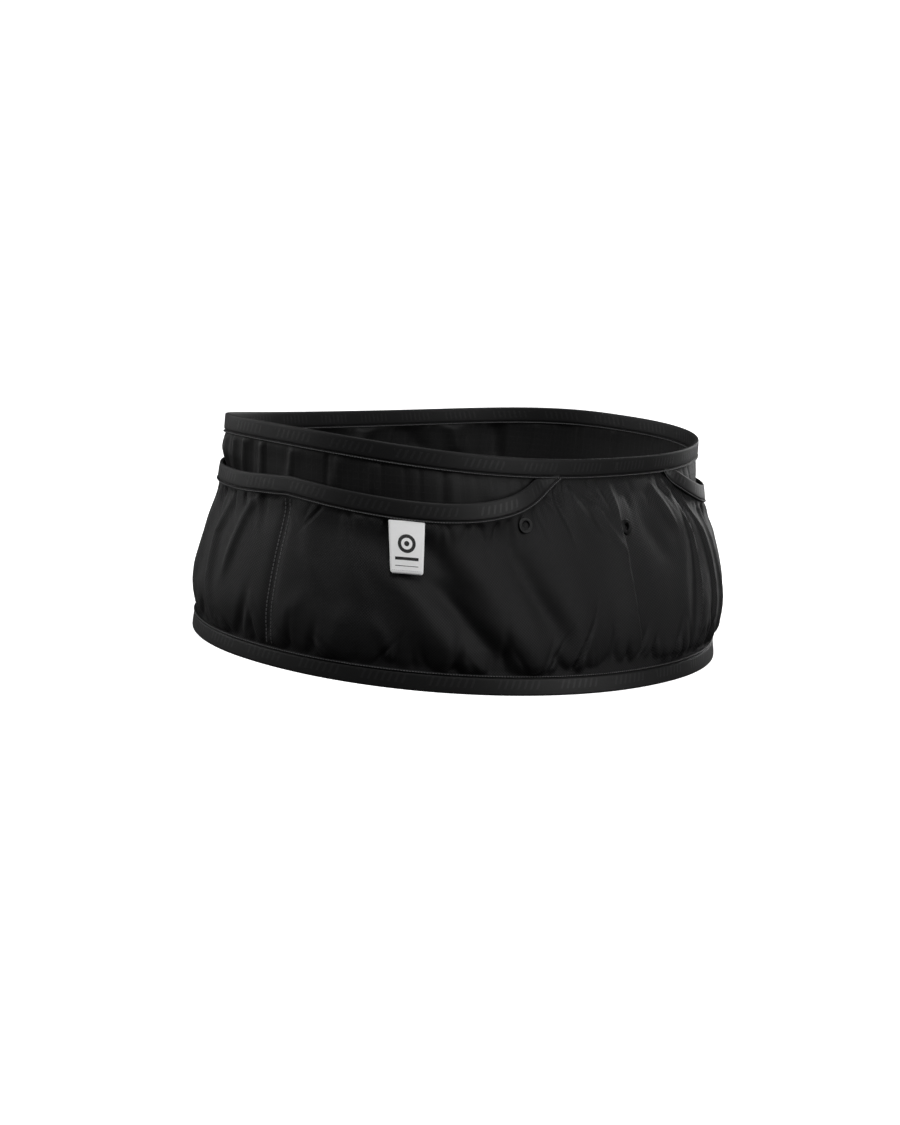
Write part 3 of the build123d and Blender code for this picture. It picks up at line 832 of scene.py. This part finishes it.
# ---- label ---------------------------------------------------------------------------------------
LABEL_ANGLE, LABEL_WIDTH, LABEL_LENGTH, LABEL_THICK = 215.3, 18.0, 26.0, 0.7
LABEL_DROP, LABEL_BEHIND = 5.2, 0.4     # its upper edge lies this far below and behind the tape's middle
LABEL_FOOT = 7.2                # offset of its lower edge
LABEL_CORNER, LABEL_BEND = 1.2, 27      # corner radius, and length of the curve of its face
LABEL_SEAM, LABEL_SEAM_HALF = 24.4, 8.2 # distance of its row of stitches from the top, and half its length
PRINT_LIFT = 0.05


def label_frame():
    """The middle of the label's upper edge and its directions: to the right, down and outwards."""
    t = np.array([LABEL_ANGLE * RAD])
    z = float(lip_middle(t)[0]) - LABEL_DROP
    top = wall(t, z, float(lip_stand(t)[0]) - LABEL_BEHIND)[0]
    foot = wall(t, z - LABEL_LENGTH, LABEL_FOOT)[0]
    x = unit(wall(t + NEARBY, z, 0)[0] - wall(t - NEARBY, z, 0)[0])
    down = foot - top
    down = unit(down - x * (down @ x))
    return top, x, down, np.cross(x, -down)


LABEL_TOP, LABEL_X, LABEL_DOWN, LABEL_N = label_frame()


def on_label(x, y, lift):
    """A point of the label: x across, y down from its upper edge, both in mm, on its gently curved face."""
    x, y, lift = np.broadcast_arrays(np.asarray(x, float), y, lift)
    side, down = x / (LABEL_WIDTH / 2), y / LABEL_BEND
    curve = -0.55 * side**2 + 0.5 * np.sin(down * math.pi) + 0.5 * down**3 * (x < 0) * side**2
    drift = (x * (1 - 0.004 * y) + 0.085 * y)[..., None]
    return LABEL_TOP + LABEL_X * drift + LABEL_DOWN * y[..., None] + LABEL_N * (curve + lift)[..., None]


def label_body():
    """The label's front and back with a rim between them, thinner towards its sides and foot."""
    xs, ys = np.linspace(-1, 1, 25), np.linspace(0, 1, 33)
    gx, gy = np.meshgrid(xs * LABEL_WIDTH / 2, ys * LABEL_LENGTH, indexing="ij")
    over = np.clip(gy - (LABEL_LENGTH - LABEL_CORNER), 0, LABEL_CORNER)
    rounded = np.sqrt(LABEL_CORNER**2 - over**2)
    gx = np.clip(gx, -(LABEL_WIDTH / 2 - LABEL_CORNER + rounded), LABEL_WIDTH / 2 - LABEL_CORNER + rounded)
    from_side, from_foot = (1 - np.abs(xs))[:, None] * 12, (1 - ys)[None, :] * 14
    edge = np.minimum(np.clip(from_side, 0, 1), np.clip(from_foot, 0, 1))
    puff = LABEL_THICK / 2 * np.sqrt(np.clip(1 - (1 - edge) ** 2, 0, 1)) + 0.02
    count, size = gx.shape
    faces = grid_faces(count, size)[:, ::-1].tolist()
    faces += (grid_faces(count, size) + count * size).tolist()
    rim = [i * size for i in range(count)] + [(count - 1) * size + j for j in range(1, size)]
    rim += [i * size + size - 1 for i in range(count - 2, -1, -1)] + [j for j in range(size - 2, 0, -1)]
    for here, after in zip(rim, rim[1:] + rim[:1]):
        faces.append([here, after, after + count * size, here + count * size])
    points = np.concatenate([on_label(gx, gy, side * puff).reshape(-1, 3) for side in (1, -1)])
    uv = np.stack([gx, gy], -1).reshape(-1, 2)
    return new_object("label_cloth", points, faces, np.concatenate([uv, uv]))


RINGS_MIDDLE, RINGS = 11.2, ((2.9, 4.6), (0.01, 1.3))   # distance from the top; (inner, outer) radius
BARS = ((18.6, 6.2, 0.75), (22.2, 6.2, 0.16))           # (distance from the top, half width, half height)


def label_print():
    """A plain generic motif: a ring round a dot, and two bars below it."""
    grids = []
    turn = np.linspace(0, 2 * math.pi, 49)[:, None]
    for inner, outer in RINGS:
        radius = np.linspace(inner, outer, 3)
        grids.append((radius * np.cos(turn), RINGS_MIDDLE + radius * np.sin(turn)))
    for middle, half_width, half_height in BARS:
        ends = [middle - half_height, middle + half_height]
        grids.append(np.meshgrid(np.linspace(-half_width, half_width, 13), ends, indexing="ij"))
    points, faces = np.empty((0, 3)), []
    for x, y in grids:
        faces += (grid_faces(*x.shape)[:, ::-1] + len(points)).tolist()
        points = np.concatenate([points, on_label(x, y, LABEL_THICK / 2 + PRINT_LIFT).reshape(-1, 3)])
    return new_object("label_print", points, faces)


def label_seam():
    """A row of stitches across the label's foot."""
    x = np.linspace(-LABEL_SEAM_HALF, LABEL_SEAM_HALF, 40)
    line = on_label(x, LABEL_SEAM + 0 * x, LABEL_THICK / 2)
    tangent, outward, _ = path_frames(line, np.tile(LABEL_N, (len(x), 1)))
    return stitches("label_stitches", line, tangent, outward, *LABEL_STITCH)


label = label_body()
label_ink = label_print()
label_stitches = label_seam()

# ---- finishes, and the pieces that ride on the belt and the label tab ----------------------------
threads = (
    waist_stitches, hem_stitches, left_lip_stitches, right_lip_stitches, back_lip_stitches,
    left_seam, right_seam,
)
finishes = (
    (OUTER, "outer_cloth", (outer_left, outer_mid, outer_right, outer_back)),
    (INNER, "inner_cloth", (inner_front, inner_back)),
    (ELASTIC, "elastic_tape", (waist_tape, hem_tape, left_lip, right_lip, back_lip)),
    (THREAD, "thread", threads),
    (EYELET, "eyelet_metal", (eyelets, washers)),
    (LABEL, "label_ribbon", (label,)),
    (LABEL_INK, "label_ribbon", (label_ink,)),
    (LABEL_THREAD, "label_thread", (label_stitches,)),
)
for material, slot, pieces in finishes:
    for piece in pieces:
        dress(piece, material)

belt_pieces = (
    outer_mid, inner_front, inner_back, waist_tape, hem_tape, waist_stitches, hem_stitches,
    left_seam, right_seam, eyelets, washers,
)
for piece in belt_pieces:
    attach(piece, "belt")
for piece in (label, label_ink, label_stitches):
    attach(piece, "label_tab")


for piece in (outer_left, left_lip, left_lip_stitches):
    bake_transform(piece)
for piece in (outer_right, right_lip, right_lip_stitches):
    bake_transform(piece)
for piece in (outer_back, back_lip, back_lip_stitches):
    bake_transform(piece)

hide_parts("outer_front_panel")
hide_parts("outer_back_panel")
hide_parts("inner_front_panel")
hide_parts("inner_back_panel")
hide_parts("waist_binding")
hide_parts("hem_binding")
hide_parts("waist_stitching")
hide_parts("hem_stitching")
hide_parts("left_pocket_binding")
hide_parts("right_pocket_binding")
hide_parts("back_pocket_binding")
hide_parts("left_pocket_stitching")
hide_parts("right_pocket_stitching")
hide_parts("back_pocket_stitching")
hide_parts("left_seam_stitching")
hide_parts("right_seam_stitching")
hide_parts("eyelets")
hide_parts("eyelet_washers")
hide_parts("label")
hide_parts("label_stitching")

# ---- studio --------------------------------------------------------------------------------------
FLOOR_GLOW, WORLD_STRENGTH = 0.9, 0.06
FLOOR_RADIUS, BEND_RADIUS, WALL_TOP = 3.0, 1.2, 4.0     # metres
FLOOR_SIDES = 64
LIGHTS_AIM = np.array((0, 0, 0.06))


def bowl():
    """A pale round floor that curves up into a wall. It neither lights the belt nor shows in its shine."""
    bend = np.linspace(0, math.pi / 2, 16)
    out = np.concatenate([[0.001], FLOOR_RADIUS + BEND_RADIUS * np.sin(bend), [FLOOR_RADIUS + BEND_RADIUS]])
    up = np.concatenate([[0], BEND_RADIUS * (1 - np.cos(bend)), [WALL_TOP]])
    turns = np.linspace(0, 2 * math.pi, FLOOR_SIDES + 1)[:-1, None]
    points = np.stack([np.cos(turns) * out, np.sin(turns) * out, up + 0 * turns], -1)
    faces = grid_faces(FLOOR_SIDES, len(up), True)[:, ::-1]
    obj = new_object("studio_floor", points.reshape(-1, 3) / MM, faces)
    n = Nodes("studio_floor")
    n.shader.inputs["Base Color"].default_value = (0.9, 0.9, 0.9, 1)
    n.shader.inputs["Emission Color"].default_value = (1, 1, 1, 1)
    n.shader.inputs["Emission Strength"].default_value = FLOOR_GLOW
    obj.data.materials.append(n.finish(0.9, specular=0.1))
    obj.visible_glossy = False
    obj.visible_diffuse = False
    return obj


def placed(name, data, axes, place):
    """A light or camera at a place, with its x, y and z axes."""
    obj = bpy.data.objects.new(name, data)
    bpy.context.scene.collection.objects.link(obj)
    x, y, z = axes
    obj.matrix_world = Matrix([[x[i], y[i], z[i], place[i]] for i in range(3)] + [[0, 0, 0, 1]])
    return obj


def area_light(name, place, size, power):
    """An area light that faces the belt's middle."""
    data = bpy.data.lights.new(name, "AREA")
    data.shape, data.size, data.size_y, data.energy = "RECTANGLE", size[0], size[1], power
    away = unit(np.array(place) - LIGHTS_AIM)
    x = unit(np.cross([0, 0, 1.0], away))
    return placed(name, data, (x, np.cross(away, x), away), place)


bowl()
# place, size (both in metres) and watts
area_light("left", (-1.35, 1.35, 0.7), (1.0, 1.2), 14)
area_light("fill", (-0.9, -0.9, 1.9), (1.0, 1.0), 19)
area_light("front", (0.3, -1.85, 0.75), (0.9, 1.2), 16)
area_light("top", (0.0, 0.3, 1.9), (1.4, 1.4), 11)
area_light("rim_right", (1.8, 0.15, 0.5), (0.5, 0.9), 9)
area_light("rim_left", (-0.35, 1.9, 0.4), (0.5, 0.9), 4)
world = bpy.data.worlds.new("studio")
world.use_nodes = True
world.node_tree.nodes["Background"].inputs[0].default_value = (1, 1, 1, 1)
world.node_tree.nodes["Background"].inputs[1].default_value = WORLD_STRENGTH
bpy.context.scene.world = world
bpy.context.scene.view_settings.view_transform = "Standard"

# ---- camera --------------------------------------------------------------------------------------
AZIMUTH, ELEVATION, ROLL = -49.83 * RAD, 9.85 * RAD, 4.9 * RAD
DISTANCE, AIM_RIGHT, AIM_UP, AIM_HEIGHT = 1.0443, -0.0037, -0.0249, 0.0642       # metres
LENS = 58.5344                  # mm, on a sensor 36 mm high


def add_camera():
    """The main view, from the front left and a little above, slightly rolled."""
    level = math.cos(ELEVATION)
    back = np.array([math.sin(AZIMUTH) * level, -math.cos(AZIMUTH) * level, math.sin(ELEVATION)])
    right = np.array([math.cos(AZIMUTH), math.sin(AZIMUTH), 0])
    up = np.cross(back, right)
    place = np.array([0, AXIS_Y * MM, AIM_HEIGHT]) + right * AIM_RIGHT + up * AIM_UP + back * DISTANCE
    x = right * math.cos(ROLL) + up * math.sin(ROLL)
    y = -right * math.sin(ROLL) + up * math.cos(ROLL)
    data = bpy.data.cameras.new("camera")
    data.lens = LENS
    bpy.context.scene.camera = placed("camera", data, (x, y, back), place)


add_camera()
